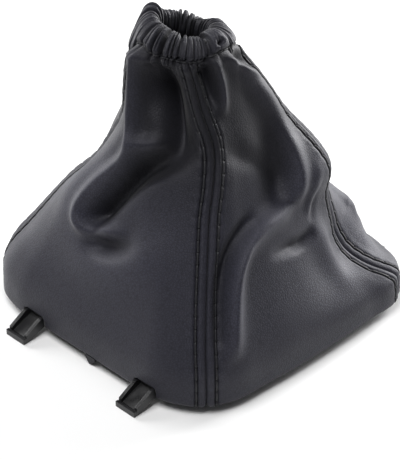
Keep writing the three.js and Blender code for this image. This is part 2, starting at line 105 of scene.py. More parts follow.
# Folds: half width, then points of (corner, height, depth in mm)
FOLDS = [
    (3, [(3.22, 0.99, 3), (3.32, 0.92, 5), (3.38, 0.83, 5), (3.43, 0.74, 5), (3.48, 0.67, 4.5),
         (3.49, 0.62, 4), (3.44, 0.56, 3.5), (3.36, 0.46, 3.5), (3.33, 0.38, 3.5),
         (3.33, 0.34, 3.5), (3.39, 0.305, 2)]),
    (8, [(3.39, 0.64, 2), (3.34, 0.58, 3), (3.26, 0.48, 4), (3.23, 0.4, 4), (3.24, 0.34, 3),
         (3.3, 0.29, 2)]),
    (4.6, [(3.6, 0.945, -6), (3.66, 0.91, -8), (3.72, 0.87, -9), (3.76, 0.81, -9),
         (3.77, 0.75, -8), (3.76, 0.69, -6), (3.73, 0.65, -3)]),
    (3.6, [(3.72, 0.66, -3), (3.66, 0.625, -6), (3.58, 0.585, -7), (3.52, 0.535, -7),
         (3.44, 0.44, -7), (3.405, 0.37, -6), (3.4, 0.325, -4)]),
    (3, [(3.5, 0.655, 2), (3.6, 0.68, 3), (3.7, 0.7, 2)]),
    (5, [(3.46, 0.93, -5), (3.54, 0.9, -6), (3.6, 0.86, -5), (3.65, 0.8, -3)]),
    (4, [(3.42, 0.28, -3), (3.48, 0.29, -4), (3.54, 0.31, -4), (3.62, 0.35, -2)]),
    (9, [(3.31, 0.24, 1), (3.47, 0.22, 2), (3.64, 0.27, 2.5), (3.8, 0.37, 2)]),
    (2.4, [(0.22, 1, 3), (0.24, 0.97, 4), (0.25, 0.93, 4.5), (0.25, 0.89, 4.5), (0.235, 0.85, 4),
         (0.22, 0.81, 2)]),
    (3, [(0.15, 0.99, -5), (0.175, 0.96, -6), (0.185, 0.925, -5.5), (0.18, 0.88, -4.5),
         (0.16, 0.84, -3)]),
    (2, [(0.4, 1, 1.5), (0.47, 0.96, 2), (0.57, 0.93, 2), (0.7, 0.9, 1.5), (0.81, 0.88, 0.5)]),
    (3, [(0.62, 0.99, -2), (0.7, 0.96, -3), (0.8, 0.94, -2.5), (0.9, 0.92, -1)]),
    (4.5, [(0.51, 0.92, 1.5), (0.69, 0.88, 2.5), (0.77, 0.82, 2.8), (0.8, 0.75, 2.8),
         (0.79, 0.69, 3), (0.77, 0.65, 3.5), (0.76, 0.61, 4.2), (0.74, 0.56, 5),
         (0.72, 0.52, 5.5), (0.69, 0.48, 5.5), (0.62, 0.44, 4.5)]),
    (8, [(0.69, 0.7, -2), (0.69, 0.64, -3.2), (0.65, 0.56, -4), (0.6, 0.51, -4),
         (0.47, 0.48, -3)]),
    (4, [(0.08, 0.7, -1), (0.34, 0.63, -1.5), (0.53, 0.58, -1)]),
    (3.4, [(0.6, 0.43, 2.2), (0.5, 0.41, 3.4), (0.37, 0.4, 4.2), (0.25, 0.385, 4.6),
         (0.17, 0.355, 5), (0.135, 0.315, 5.2), (0.118, 0.27, 5.2), (0.108, 0.21, 5),
         (0.104, 0.15, 4.4), (0.104, 0.1, 3), (0.104, 0.06, 1.2)]),
    (3, [(0.28, 0.435, -2), (0.17, 0.41, -3), (0.105, 0.37, -3.6), (0.08, 0.32, -3.8),
         (0.068, 0.26, -3.6), (0.062, 0.2, -3.2), (0.06, 0.13, -2.4), (0.06, 0.09, -1)]),
    (2.2, [(0.38, 0.3, -0.3), (0.44, 0.297, -1.2), (0.51, 0.29, -2.3), (0.6, 0.28, -2.4),
         (0.72, 0.29, -1.2)]),
    (2.6, [(0.88, 0.53, 0.6), (0.82, 0.48, 1.4), (0.78, 0.41, 1.6), (0.74, 0.35, 0.8)]),
    (2.4, [(0.81, 0.44, -0.6), (0.79, 0.38, -1.1), (0.74, 0.33, -0.8)]),
    (10, [(1.23, 0.38, 0), (1.22, 0.32, 3.6), (1.21, 0.26, 7), (1.2, 0.19, 9.5), (1.19, 0.13, 12),
         (1.18, 0.08, 14.5), (1.17, 0.05, 14)]),
    (3, [(3.32, 0.32, 2), (3.38, 0.31, 3), (3.44, 0.33, 3.5), (3.52, 0.35, 3), (3.58, 0.36, 1.5)]),
    (9, [(0.78, 0.28, 3), (0.8, 0.2, 3.5), (0.82, 0.12, 3), (0.84, 0.06, 2)]),
    (1.6, [(3.64, 0.99, 2), (3.66, 0.98, 2.5), (3.65, 0.95, 1)]),
    (1.6, [(3.91, 1, 2), (3.9, 0.98, 2), (3.89, 0.96, 1)]),
    (1.6, [(0.04, 1, 2), (0.02, 0.98, 1.5), (0.02, 0.96, 0.5)]),
    (3, [(3.3, 0.95, 1), (3.43, 0.98, 2.5), (3.54, 0.98, 1.5)]),
    (5, [(0.9, 0.62, 0.3), (0.89, 0.55, 1.2), (0.87, 0.48, 1.5), (0.83, 0.4, 0.8)]),
]

# Folds fade out toward the closing stitches and the shoulder at these rates. A fold's spots
# are counted as if every panel were this wide.
FADE_AT_COLLAR = 25
FADE_AT_SHOULDER = 17
WIDTH_HALFWAY = 60

# Soft bumps round the gaiter: corner number, reach and height in mm. The skirt stands off
# the frame by its fullness, apart from what is turned in this far from its face, and the
# closing stitches rise and dip round the collar.
FULLNESS = [(0.55, 0.26, 1.3), (0.96, 0.12, 2.4), (2.98, 0.12, 1.2)]
TURNED_IN = 3.4
COLLAR_RISE = [(0.68, 0.5, 4.7), (2.92, 0.22, -3.2), (3.25, 0.14, 2.4)]

# Height of the collar's crest at each seam and panel middle, above the collar's centre
CREST = np.array([7.4, 9.6, 10.2, 9.6, 10, 11.6, 10.4, 9])

# Hem section as (distance, height), collar section as (radius, share of the crest's height)
HEM_OUTSIDE = [(5.2, 9.6), (5.2, 7), (5.2, 4.4), (4.9, 3.4), (4.1, 2.8), (2.6, 2.8), (1.2, 2.8),
               (0.4, 3.2), (0, 4.0), (0, 5.5)]
HEM_TO_BODY = 1.5
CASING_OUTSIDE = [(18.3, 0), (18.3, 0.2), (17.5, 0.42), (16.3, 0.66), (14.5, 0.88),
                  (12.3, 1.0), (10.3, 0.97), (8.8, 0.84), (8.1, 0.6), (8.2, 0.35), (9.6, 0.1),
                  (12, -0.02), (15.4, -0.07)]

# Tongue at the middle of the front hem: outline in x and z, how proud it is, thickness
TONGUE_OUTLINE = [(0.9, 3.6), (0.9, 2.5), (1.8, 1.2), (2.9, 0.05), (4.1, 0.9), (5.7, 2.5),
                  (5.7, 3.6)]
TONGUE_PROUD = 0.1
TONGUE_THICKNESS = 1.4

# Elastic in the casing: section and height above the closing stitches
ELASTIC = {"inner": 12.0, "thickness": 1.5, "lift": 1.9, "height": 1.8, "steps": 88}
ELASTIC_SLOT = "elastic"

# Sewing: each row's pitch and thread, and how far the thread sinks and lies on the leather
THREAD_SIDES = 6
STITCH_PITCH = 4.4
THREAD_RADIUS = 0.43
THREAD_STEP = 0.4
THREAD_RISE = 2.4
THREAD_SINK = 0.75
THREAD_LIFT = 0.72
FIRST_STITCHED_ROW = 7
CASING_PITCH = 3.2
CASING_THREAD = 0.26
CASING_STEP = 0.35
CASING_SINK = 0.2
CASING_LIFT = 0.45

# Relief beside a seam: the joint's groove, the puffed leather on both sides of the stitch
# row, and the row, where the leather is drawn down most at the needle holes
JOINT_DEPTH = 0.65
JOINT_WIDTH = 0.42
PUFF = {"place": 1.9, "width": 1.0, "height": 0.42, "at_hole": 0.12}
OUTER_PUFF = {"place": 5.0, "width": 1.2, "height": 0.2, "at_hole": 0.14}
ROW_DEPTH = 0.45
ROW_AT_HOLE = 0.55
ROW_WIDTH = 0.65
HEM_RELIEF_FADE = 6
RELIEF_FADE = 40

# Painted light in the leather's colour: it rises with the relief, over this many mm, so valleys
# and grooves get painted shade and ridges painted highlight, and painted shade grows with the
# height of the skin and further on the casing and down its throat
PAINTED_LIGHT_LEVEL = 0.5
PAINTED_LIGHT_SPAN = 12
PAINTED_SHADE_TOP = 0.4
PAINTED_SHADE_START = 0.42
PAINTED_SHADE_SPAN = 0.33
CASING_PAINTED_SHADE = 0.22
THROAT_PAINTED_SHADE = 0.3
THROAT_START = 5
THROAT_SPAN = 2

# Camera of the photograph: 400 x 460 pixels
IMAGE_WIDTH = 400
FOCAL_PIXELS = 2558.8
VIEW_AZIMUTH = 45.3
VIEW_ELEVATION = 33.88
VIEW_DISTANCE = 900
VIEW_TARGET = np.array([0, 0, 57.8])
AIM_RIGHT = 0.3
AIM_DOWN = 69.8


def catmull(p0, p1, p2, p3, t):
    square = (2 * p0 - 5 * p1 + 4 * p2 - p3) * t**2
    cube = (3 * p1 - p0 - 3 * p2 + p3) * t**3
    return 0.5 * (2 * p1 + (p2 - p0) * t + square + cube)


def along_height(values, v):
    """Smooth value at height v from the values at HEIGHTS."""
    slope = np.gradient(values, HEIGHTS)
    i = np.clip(np.searchsorted(HEIGHTS, v, side="right") - 1, 0, len(HEIGHTS) - 2)
    h = HEIGHTS[i + 1] - HEIGHTS[i]
    t = np.clip((v - HEIGHTS[i]) / h, 0, 1)
    rise = t * t * (3 - 2 * t)
    ends = (1 - rise) * values[i] + rise * values[i + 1]
    return ends + h * t * (1 - t) * ((1 - t) * slope[i] - t * slope[i + 1])


def around(values, u):
    """Smooth value at corner number u. Each station has one value, or one for each point."""
    place = np.mod(u, PANELS) * 2
    first = np.floor(place).astype(int)
    near = [(first + step) % STATIONS for step in (-1, 0, 1, 2)]
    if values.ndim > 1:
        picked = [np.take_along_axis(values, at[None], 0)[0] for at in near]
    else:
        picked = [values[at] for at in near]
    return catmull(*picked, place - first)


def on_skin(columns, u, v):
    """Smooth value at corner number u and height v. Each station has a column of values."""
    u, v = np.broadcast_arrays(u, v)
    return around(np.stack([along_height(column, v) for column in columns]), u)


def turned(x, y, quarter):
    c, s = np.cos(quarter * math.pi / 2), np.sin(quarter * math.pi / 2)
    return x * c - y * s, x * s + y * c


def away_from(middle, u):
    """How far u is from this corner number, the shorter way round."""
    return np.mod(u - middle + PANELS / 2, PANELS) - PANELS / 2


def soft_bumps(bumps, u):
    return sum(height * np.exp(-(away_from(middle, u) / reach)**4)
               for middle, reach, height in bumps)


def soft_step(x):
    x = np.clip(x, 0, 1)
    return x * x * (3 - 2 * x)


def base_ring(u, inset=0.0, rear=1.0):
    """Points of the skirt's round-cornered outline, set in from the leather's face."""
    standing_off = np.clip((TURNED_IN - inset) / LEATHER, 0, 1)
    inset = inset - soft_bumps(FULLNESS, u) * standing_off
    side = np.floor(u)
    arc = math.pi / 4 * CORNER_RADIUS
    along = (u - side) * PANEL_LENGTH
    leaving = np.clip(along, 0, arc) / CORNER_RADIUS
    entering = np.clip(along - arc - STRAIGHT_SIDE, 0, arc) / CORNER_RADIUS
    angle = leaving + entering - math.pi / 4
    radius = CORNER_RADIUS - inset
    x = STRAIGHT_SIDE / 2 + radius * np.cos(angle)
    y = np.clip(along - arc, 0, STRAIGHT_SIDE) - STRAIGHT_SIDE / 2 + radius * np.sin(angle)
    x, y = turned(x, y, side)
    return np.stack([x, np.where(y > 0, y * rear, y)], -1)


def collar_axes():
    away = np.array([math.sin(NEAR_CORNER), math.cos(NEAR_CORNER), 0])
    sideways = np.array([math.cos(NEAR_CORNER), -math.sin(NEAR_CORNER), 0])
    axis = np.array([0, 0, math.cos(COLLAR_LEAN)]) + away * math.sin(COLLAR_LEAN)
    axis = axis * math.cos(COLLAR_ROLL) + sideways * math.sin(COLLAR_ROLL)
    axis /= np.linalg.norm(axis)
    across = np.array([1.0, 0, 0]) - axis * axis[0]
    across /= np.linalg.norm(across)
    return axis, across, np.cross(axis, across)


COLLAR_AXIS, COLLAR_ACROSS, COLLAR_ALONG = collar_axes()


def collar_point(u, radius, height):
    angle = NEAR_CORNER + COLLAR_TWIST + np.asarray(u) * math.pi / 2
    radial = np.cos(angle)[..., None] * COLLAR_ACROSS + np.sin(angle)[..., None] * COLLAR_ALONG
    radius, height = np.broadcast_arrays(radius, height)
    return COLLAR_CENTRE + radial * radius[..., None] + COLLAR_AXIS * height[..., None]


def seat(u):
    """Corner number on the base ring after the seams' wander."""
    return u + on_skin(WANDER, u, 0.0) / PANEL_LENGTH


def smooth_skin(u, v):
    """The skin without folds, from the shoulder (v = 0) to the closing stitches (v = 1)."""
    low = np.minimum(v, EASED_BELOW)
    eased = SHOULDER_SOFTNESS * np.log1p(np.exp(low / SHOULDER_SOFTNESS))
    height = np.minimum(np.where(v > EASED_BELOW, v, eased), 1)
    travel = on_skin(TRAVEL, u, height)[..., None]
    top = collar_point(u, COLLAR_RADIUS, soft_bumps(COLLAR_RISE, u))
    wander = on_skin(WANDER, u, height) - on_skin(WANDER, u, 0.0) * (1 - travel[..., 0])
    rear = 1 - (1 - REAR_SHARE) * soft_step((v - REAR_EASE_START) / REAR_EASE_SPAN)
    plan = base_ring(seat(u), 0.0, rear) * (1 - travel) + top[..., :2] * travel
    radial = plan - COLLAR_CENTRE[:2] * travel
    radial /= np.linalg.norm(radial, axis=-1, keepdims=True)
    sideways = np.stack([-radial[..., 1], radial[..., 0]], -1)
    plan = plan + sideways * wander[..., None]
    z = SHOULDER + (top[..., 2] - SHOULDER) * v
    return np.concatenate([plan, z[..., None]], -1)


def skin_normal(u, v):
    below = np.minimum(v, 1 - NORMAL_STEP) - NORMAL_STEP
    round_it = smooth_skin(u + NORMAL_STEP, v) - smooth_skin(u - NORMAL_STEP, v)
    rise = smooth_skin(u, below + 2 * NORMAL_STEP) - smooth_skin(u, below)
    normal = np.cross(round_it, rise)
    return normal / np.linalg.norm(normal, axis=-1, keepdims=True)


def panel_width(v):
    share = along_height(TRAVEL[1], np.clip(v, 0, 1))
    return PANEL_LENGTH + (COLLAR_WIDTH - PANEL_LENGTH) * share


def fold_spots(width, path):
    """Soft spots along a fold's path, which add up to a smooth ridge or valley."""
    path = np.array(path, float)
    points = np.vstack([2 * path[0] - path[1], path, 2 * path[-1] - path[-2]])
    spots = []
    for i in range(len(path) - 1):
        p0, p1, p2, p3 = points[i:i + 4]
        aside, up = p2[0] - p1[0], (p2[1] - p1[1]) * SLANT_HEIGHT
        count = max(2, math.ceil(math.hypot(aside * WIDTH_HALFWAY, up) / (width / 2)))
        for k in range(count):
            u, v, depth = catmull(p0, p1, p2, p3, (k + 0.5) / count)
            step = math.hypot(aside * panel_width(v), up) / count
            spots.append((u, v, width, depth * step / (width * math.sqrt(math.pi))))
    return spots


FOLD_SPOTS = [spot for width, path in FOLDS for spot in fold_spots(width, path)]


def fold_height(u, v):
    wide = panel_width(v)
    height = np.zeros(u.shape)
    for spot_u, spot_v, width, weight in FOLD_SPOTS:
        across = away_from(spot_u, u) * wide
        up = (v - spot_v) * SLANT_HEIGHT
        height += weight * np.exp(-(across**2 + up**2) / width**2)
    edge = np.minimum((1 - v) * FADE_AT_COLLAR, v * FADE_AT_SHOULDER)
    return height * soft_step(edge)


# Gathers

# Creases traced on the front and right panels: place across the panel, half width, depth
TRACED_CREASES = {
    3: [(4.5, 0.4, 0.7), (8.2, 0.4, 0.8), (13, 0.6, 1.5), (16.6, 0.9, 2.0), (19.7, 0.35, 0.7),
        (21, 0.35, 0.9), (23.4, 0.6, 1.5), (26.2, 0.35, 0.8)],
    0: [(1.4, 0.3, 0.7), (2.9, 0.3, 0.8), (4.4, 0.3, 0.6), (5.8, 0.8, 2.0), (16, 0.7, 1.4)],
}

# The other creases: how many with and without traced ones, how far they scatter from even
# places, and what each is drawn from, in mm or as a share of the way over the casing
SLIGHT_CREASES = 16
FREE_CREASES = 11
CREASE_MARGIN = 1.2
CREASE_SCATTER = 0.9
CREASE_SPREAD = {"width": (0.35, 0.8), "depth": (0.4, 1.7), "lean": (-1.6, 1.6),
                 "start": (-0.5, 0.25), "end": (0.45, 1.4), "reach": (1, 6)}
SLIGHT_WIDTH = 0.3
SLIGHT_DEPTH = 0.35
TRACED_LEAN = 0.5
TRACED_START = -1
TRACED_END = 1.2
TRACED_REACH = 3
CREASE_ENDS = 0.15
CREASE_WIDENS_OVER = 9

# Lumps and one pit in the gathered casing: corner number, place along the casing's section,
# half width as a share of a panel, half length along the section, height
COLLAR_LUMPS = [
    (0.38, 3.6, 0.15, 2.2, 1.7), (0.36, 2.5, 0.045, 0.45, -2.6), (0.12, 3.6, 0.035, 2.0, -0.8),
    (2.62, 4.8, 0.12, 1.6, 2.4), (2.3, 4.4, 0.1, 1.5, -0.8), (1.9, 4.6, 0.13, 1.6, 1.0),
    (1.5, 4.6, 0.11, 1.6, -0.7), (1.2, 4.2, 0.12, 1.8, 0.9), (0.72, 4.4, 0.1, 1.8, -0.6),
    (3.05, 4.0, 0.1, 2.0, 0.8), (3.3, 3.4, 0.07, 2.0, -0.7), (3.46, 3.2, 0.07, 2.2, 0.7),
]


def crease_plan(side):
    """One row for each crease: place, half width, depth, lean, start, end, reach below."""
    traced = TRACED_CREASES.get(side, [])
    count = SLIGHT_CREASES if traced else FREE_CREASES
    even = np.linspace(CREASE_MARGIN, COLLAR_WIDTH - CREASE_MARGIN, count)
    rows = []
    for place in even + RNG.uniform(-CREASE_SCATTER, CREASE_SCATTER, count):
        width, depth, *rest = [RNG.uniform(*limits) for limits in CREASE_SPREAD.values()]
        if traced:
            width, depth = SLIGHT_WIDTH, depth * SLIGHT_DEPTH
        rows.append((place, width, depth, *rest))
    for place, width, depth in traced:
        reach = TRACED_REACH * (1 + depth)
        rows.append((place, width, depth, TRACED_LEAN, TRACED_START, TRACED_END, reach))
    return rows


CREASES = [crease_plan(side) for side in range(PANELS)]


def gather(side, share, level, down):
    """Depth of the creases: level runs up over the collar, down is mm below its stitches."""
    x = share * COLLAR_WIDTH
    height = np.zeros(np.broadcast(x, level, down).shape)
    for place, width, depth, lean, start, end, reach in CREASES[side]:
        begun, left = (level - start) / CREASE_ENDS, (end - level) / CREASE_ENDS
        here = soft_step(begun) * soft_step(left)
        away = (x - place - lean * level) / (width * (1 + down / CREASE_WIDENS_OVER))
        height -= depth * here * np.exp(-down / reach) * np.exp(-away**2)
    return height


# Sewn edges

def needle_hole(t):
    """1 at a needle hole and 0 midway between two, t mm along the row."""
    return 0.5 + 0.5 * np.cos(2 * math.pi * t / STITCH_PITCH)


def stitch_row_depth(t):
    return ROW_DEPTH + ROW_AT_HOLE * needle_hole(t)**2


def puffed(s, t, shape):
    height = shape["height"] - shape["at_hole"] * needle_hole(t)
    return height * np.exp(-((s - shape["place"]) / shape["width"])**2)


def seam_relief(s, t):
    """Relief at s mm from the joint and t mm along it: groove, puffed leather, stitch row."""
    joint = -JOINT_DEPTH * np.exp(-(s / JOINT_WIDTH)**2)
    row = -stitch_row_depth(t) * np.exp(-((s - STITCH_OFFSET) / ROW_WIDTH)**2)
    return joint + puffed(s, t, PUFF) + row + puffed(s, t, OUTER_PUFF)


# Columns of points by their distance from the seam, and rows from the hem to the casing: the
# body's are close together up to a height just above the shoulder
EDGE_COLUMNS = [0.05, 0.4, 0.75, 1.1, 1.5, 1.9, 2.3, 2.65, 2.95, 3.25, STITCH_OFFSET, 3.75,
                4.05, 4.4, 4.8, 5.3, 5.9, 6.6]
STITCH_COLUMN = EDGE_COLUMNS.index(STITCH_OFFSET)
MIDDLE_COLUMNS = 104
SHOULDER_ROWS = 35
UPPER_ROWS = 141
LOWEST_ROW = -0.085
SHOULDER_ROWS_TO = 0.1
CASING_ROWS = 44

# The pinch at the closing stitches, and the casing's gathers and seams
PINCH = 0.7
PINCH_WIDTH = 1.1
CASING_GATHER = 1.4
GATHER_FADE = 5
GATHER_LEAST = 0.2
CASING_SEAM_DEPTH = 0.6
CASING_SEAM_WIDTH = 0.45


def column_places(wide):
    """Distances across a panel of this width: fine at the sewn edges, even between."""
    edge = np.array(EDGE_COLUMNS)
    middle = np.linspace(edge[-1], wide - edge[-1], MIDDLE_COLUMNS + 2)[1:-1]
    return np.concatenate([edge, middle, wide - edge[::-1]])


def edge_distance(places, wide):
    return np.minimum(places, wide - places)


def smooth_path(points, count):
    """A smooth curve of count points through these points."""
    points = np.array(points, float)
    ends = np.vstack([2 * points[0] - points[1], points, 2 * points[-1] - points[-2]])
    steps = np.linspace(0, len(points) - 1, count)
    i = np.minimum(steps.astype(int), len(points) - 2)
    t = (steps - i)[:, None]
    return catmull(ends[i], ends[i + 1], ends[i + 2], ends[i + 3], t)


class Panel:
    """One leather panel: rows of points from the hem, over the shoulder, to the casing."""

    def __init__(self, side):
        self.side = side
        self.outside = []
        self.normals = []
        self.painted_light = []
        self.hem()
        self.body()
        self.casing()
        self.outside = np.array(self.outside)
        self.normals = np.array(self.normals)
        self.painted_light = np.array(self.painted_light)

    # Each point also gets its painted light: painted shade where the relief sinks and higher up
    # the skin, painted highlight where the relief rises
    def add(self, points, normals, lift, painted_shade=0.0):
        self.outside.extend(points)
        self.normals.extend(normals)
        self.painted_light.extend(np.clip(PAINTED_LIGHT_LEVEL + lift / PAINTED_LIGHT_SPAN - painted_shade, 0, 1))

    def hem(self):
        places = column_places(PANEL_LENGTH)
        u = seat(self.side + places / PANEL_LENGTH)
        path = np.array(HEM_OUTSIDE)
        tangent = np.gradient(path, axis=0)
        tangent /= np.linalg.norm(tangent, axis=1, keepdims=True)
        edge = edge_distance(places, PANEL_LENGTH)
        steps = np.linalg.norm(np.diff(path, axis=0), axis=1)
        self.hem_length = np.concatenate([[0], np.cumsum(steps)])
        radial = base_ring(u, 0.0) - base_ring(u, 1.0)
        for (inset, z), (run, rise), length in zip(path, tangent, self.hem_length):
            point = np.column_stack([base_ring(u, inset), np.full(len(u), z)])
            normal = np.column_stack([radial * rise, np.full(len(u), run)])
            relief = seam_relief(edge, length) * min(1, length / HEM_RELIEF_FADE)
            self.add([point + normal * relief[:, None]], [normal], relief[None])

    def body(self):
        lower = np.linspace(LOWEST_ROW, SHOULDER_ROWS_TO, SHOULDER_ROWS, endpoint=False)
        rows = np.concatenate([lower, np.linspace(SHOULDER_ROWS_TO, 1, UPPER_ROWS)])
        wide = panel_width(rows)
        places = np.array([column_places(w) for w in wide])
        share = places / wide[:, None]
        u = self.side + share
        v = np.repeat(rows[:, None], places.shape[1], 1)
        base = smooth_skin(u, v)
        normal = skin_normal(u, v)
        steps = np.linalg.norm(np.diff(base[:, STITCH_COLUMN], axis=0), axis=1)
        along = self.hem_length[-1] + HEM_TO_BODY + np.concatenate([[0], np.cumsum(steps)])
        self.stitch_lengths = np.concatenate([self.hem_length, along])
        edge = edge_distance(places, wide[:, None])
        relief = seam_relief(edge, along[:, None]) * np.clip((1 - v) * RELIEF_FADE, 0, 1)
        down = (1 - v) * SLANT_HEIGHT
        gathers = gather(self.side, share, 0.0, down)
        pinch = PINCH * np.exp(-(down / PINCH_WIDTH)**2)
        lift = fold_height(u, v) + relief + gathers - pinch
        # Painted shade that grows toward the collar
        painted_shade = PAINTED_SHADE_TOP * soft_step((v - PAINTED_SHADE_START) / PAINTED_SHADE_SPAN)
        self.add(base + normal * lift[..., None], normal, lift, painted_shade)
        self.closing_row = len(self.outside) - 1

    def casing(self):
        path = smooth_path(CASING_OUTSIDE, CASING_ROWS)
        share = column_places(COLLAR_WIDTH) / COLLAR_WIDTH
        u = self.side + share
        rise = soft_bumps(COLLAR_RISE, u)
        tall = around(CREST, u) - rise
        edge = edge_distance(share * COLLAR_WIDTH, COLLAR_WIDTH)
        grid = np.stack([collar_point(u, radius, rise + tall * height)
                         for radius, height in path])
        along = np.gradient(grid, axis=0)
        across = np.gradient(grid, axis=1)
        normal = np.cross(across, along)
        normal /= np.linalg.norm(normal, axis=-1, keepdims=True)
        step = np.linalg.norm(np.diff(grid, axis=0), axis=-1)
        run = np.vstack([np.zeros(len(u)), np.cumsum(step, axis=0)])
        level = run / run[-1]
        lift = CASING_GATHER * gather(self.side, share, level, 0.0)
        lift *= np.clip((1 - level) * GATHER_FADE, GATHER_LEAST, 1)
        section = np.linspace(0, len(CASING_OUTSIDE) - 1, CASING_ROWS)[:, None]
        for lump_u, place, wide, long, height in COLLAR_LUMPS:
            away = away_from(lump_u, u) / wide
            lift += height * np.exp(-away**2 - ((section - place) / long)**2)
        lift -= PINCH * np.exp(-(run / PINCH_WIDTH)**2)
        lift -= CASING_SEAM_DEPTH * np.exp(-(edge / CASING_SEAM_WIDTH)**2)
        points = grid + normal * lift[..., None]
        # Painted shade on the casing, deeper down its throat
        painted_shade = CASING_PAINTED_SHADE + THROAT_PAINTED_SHADE * soft_step((section - THROAT_START) / THROAT_SPAN)
        self.add(points[1:], normal[1:], lift[1:], painted_shade[1:])

    def inside(self):
        return self.outside - self.normals * LEATHER


def new_object(name, points, faces, look, slot, smooth=True):
    mesh = bpy.data.meshes.new(name)
    mesh.from_pydata((np.asarray(points) * MM).tolist(), [], [tuple(map(int, f)) for f in faces])
    mesh.update()
    if smooth:
        mesh.polygons.foreach_set("use_smooth", [True] * len(mesh.polygons))
    mesh.materials.append(look)
    obj = bpy.data.objects.new(name, mesh)
    bpy.context.scene.collection.objects.link(obj)
    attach(obj, "root")
    return obj


def quads(a, b, c, d):
    return np.stack([a, b, c, d], -1).reshape(-1, 4)


def skin_faces(rows, columns):
    """Quads of a closed sheet: outer grid, inner grid and the four edges that join them."""
    out = np.arange(rows * columns).reshape(rows, columns)
    inn = out + rows * columns
    return np.vstack([
        quads(out[:-1, :-1], out[:-1, 1:], out[1:, 1:], out[1:, :-1]),
        quads(inn[:-1, :-1], inn[1:, :-1], inn[1:, 1:], inn[:-1, 1:]),
        quads(out[:-1, 0], out[1:, 0], inn[1:, 0], inn[:-1, 0]),
        quads(out[:-1, -1], inn[:-1, -1], inn[1:, -1], out[1:, -1]),
        quads(out[0, :-1], inn[0, :-1], inn[0, 1:], out[0, 1:]),
        quads(out[-1, :-1], out[-1, 1:], inn[-1, 1:], inn[-1, :-1]),
    ])


def prism(outline, y0, y1):
    """Points and faces of an outline in x and z, drawn out from y0 to y1."""
    count = len(outline)
    points = np.array([(x, y, z) for y in (y0, y1) for x, z in outline])
    faces = [tuple(range(count)), tuple(reversed(range(count, 2 * count)))]
    faces += [(i, i + count, (i + 1) % count + count, (i + 1) % count) for i in range(count)]
    return points, faces


# Materials

def material(name):
    made = bpy.data.materials.new(name)
    made.use_nodes = True
    nodes, links = made.node_tree.nodes, made.node_tree.links
    return made, nodes, links, nodes["Principled BSDF"]


def ramp(nodes, low, high, low_at=0.0, high_at=1.0):
    node = nodes.new("ShaderNodeValToRGB")
    node.color_ramp.elements[0].color = low
    node.color_ramp.elements[1].color = high
    node.color_ramp.elements[0].position = low_at
    node.color_ramp.elements[1].position = high_at
    return node


def grey(value, blue=1.0):
    return (value, value, value * blue, 1)


def noise(nodes, links, where, scale, detail):
    node = nodes.new("ShaderNodeTexNoise")
    node.inputs["Scale"].default_value = scale
    node.inputs["Detail"].default_value = detail
    links.new(where, node.inputs["Vector"])
    return node


def bump(nodes, links, height, distance, strength, below=None):
    node = nodes.new("ShaderNodeBump")
    node.inputs["Distance"].default_value = distance
    node.inputs["Strength"].default_value = strength
    links.new(height, node.inputs["Height"])
    if below is not None:
        links.new(below.outputs["Normal"], node.inputs["Normal"])
    return node


def leather_material():
    """Black trim leather: pebbled grain with fine pores and uneven shine, with a base colour of
    painted shade in folds, grooves, higher up and down the throat, and painted highlight on
    ridges.
    """
    made, nodes, links, shader = material("gaiter_leather")
    where = nodes.new("ShaderNodeTexCoord").outputs["Object"]
    wobble = noise(nodes, links, where, scale=1500, detail=2)
    bent = nodes.new("ShaderNodeMixRGB")
    bent.blend_type = "ADD"
    bent.inputs["Fac"].default_value = 0.0004
    links.new(where, bent.inputs["Color1"])
    links.new(wobble.outputs["Color"], bent.inputs["Color2"])
    pebble = nodes.new("ShaderNodeTexVoronoi")
    pebble.feature = "DISTANCE_TO_EDGE"
    pebble.inputs["Scale"].default_value = 1150
    links.new(bent.outputs["Color"], pebble.inputs["Vector"])
    flat_top = ramp(nodes, grey(0), grey(1), low_at=0.0, high_at=0.22)
    links.new(pebble.outputs["Distance"], flat_top.inputs["Fac"])
    pores = noise(nodes, links, where, scale=2600, detail=2)
    drift = noise(nodes, links, where, scale=60, detail=4)
    painted_light_attr = nodes.new("ShaderNodeAttribute")
    painted_light_attr.attribute_name = "painted_light"
    # The base colour is painted light: dark for painted shade, lighter for painted highlight
    colour = ramp(nodes, grey(0.006, blue=1.5), grey(0.034, blue=1.45), low_at=0.1,
                  high_at=0.75)
    links.new(painted_light_attr.outputs["Fac"], colour.inputs["Fac"])
    creased = nodes.new("ShaderNodeMixRGB")
    creased.blend_type = "MULTIPLY"
    creased.inputs["Fac"].default_value = 0.5
    links.new(colour.outputs["Color"], creased.inputs["Color1"])
    links.new(flat_top.outputs["Color"], creased.inputs["Color2"])
    links.new(creased.outputs["Color"], shader.inputs["Base Color"])
    shine = ramp(nodes, grey(0.5), grey(0.62), low_at=0.3, high_at=0.7)
    links.new(drift.outputs["Fac"], shine.inputs["Fac"])
    links.new(shine.outputs["Color"], shader.inputs["Roughness"])
    shader.inputs["Specular IOR Level"].default_value = 0.32
    shader.inputs["Specular Tint"].default_value = (0.93, 0.92, 1, 1)
    shader.inputs["Sheen Weight"].default_value = 0.08
    shader.inputs["Sheen Roughness"].default_value = 0.45
    grain = bump(nodes, links, flat_top.outputs["Color"], distance=0.00016, strength=0.32)
    fine = bump(nodes, links, pores.outputs["Fac"], distance=0.0001, strength=0.3, below=grain)
    links.new(fine.outputs["Normal"], shader.inputs["Normal"])
    return made


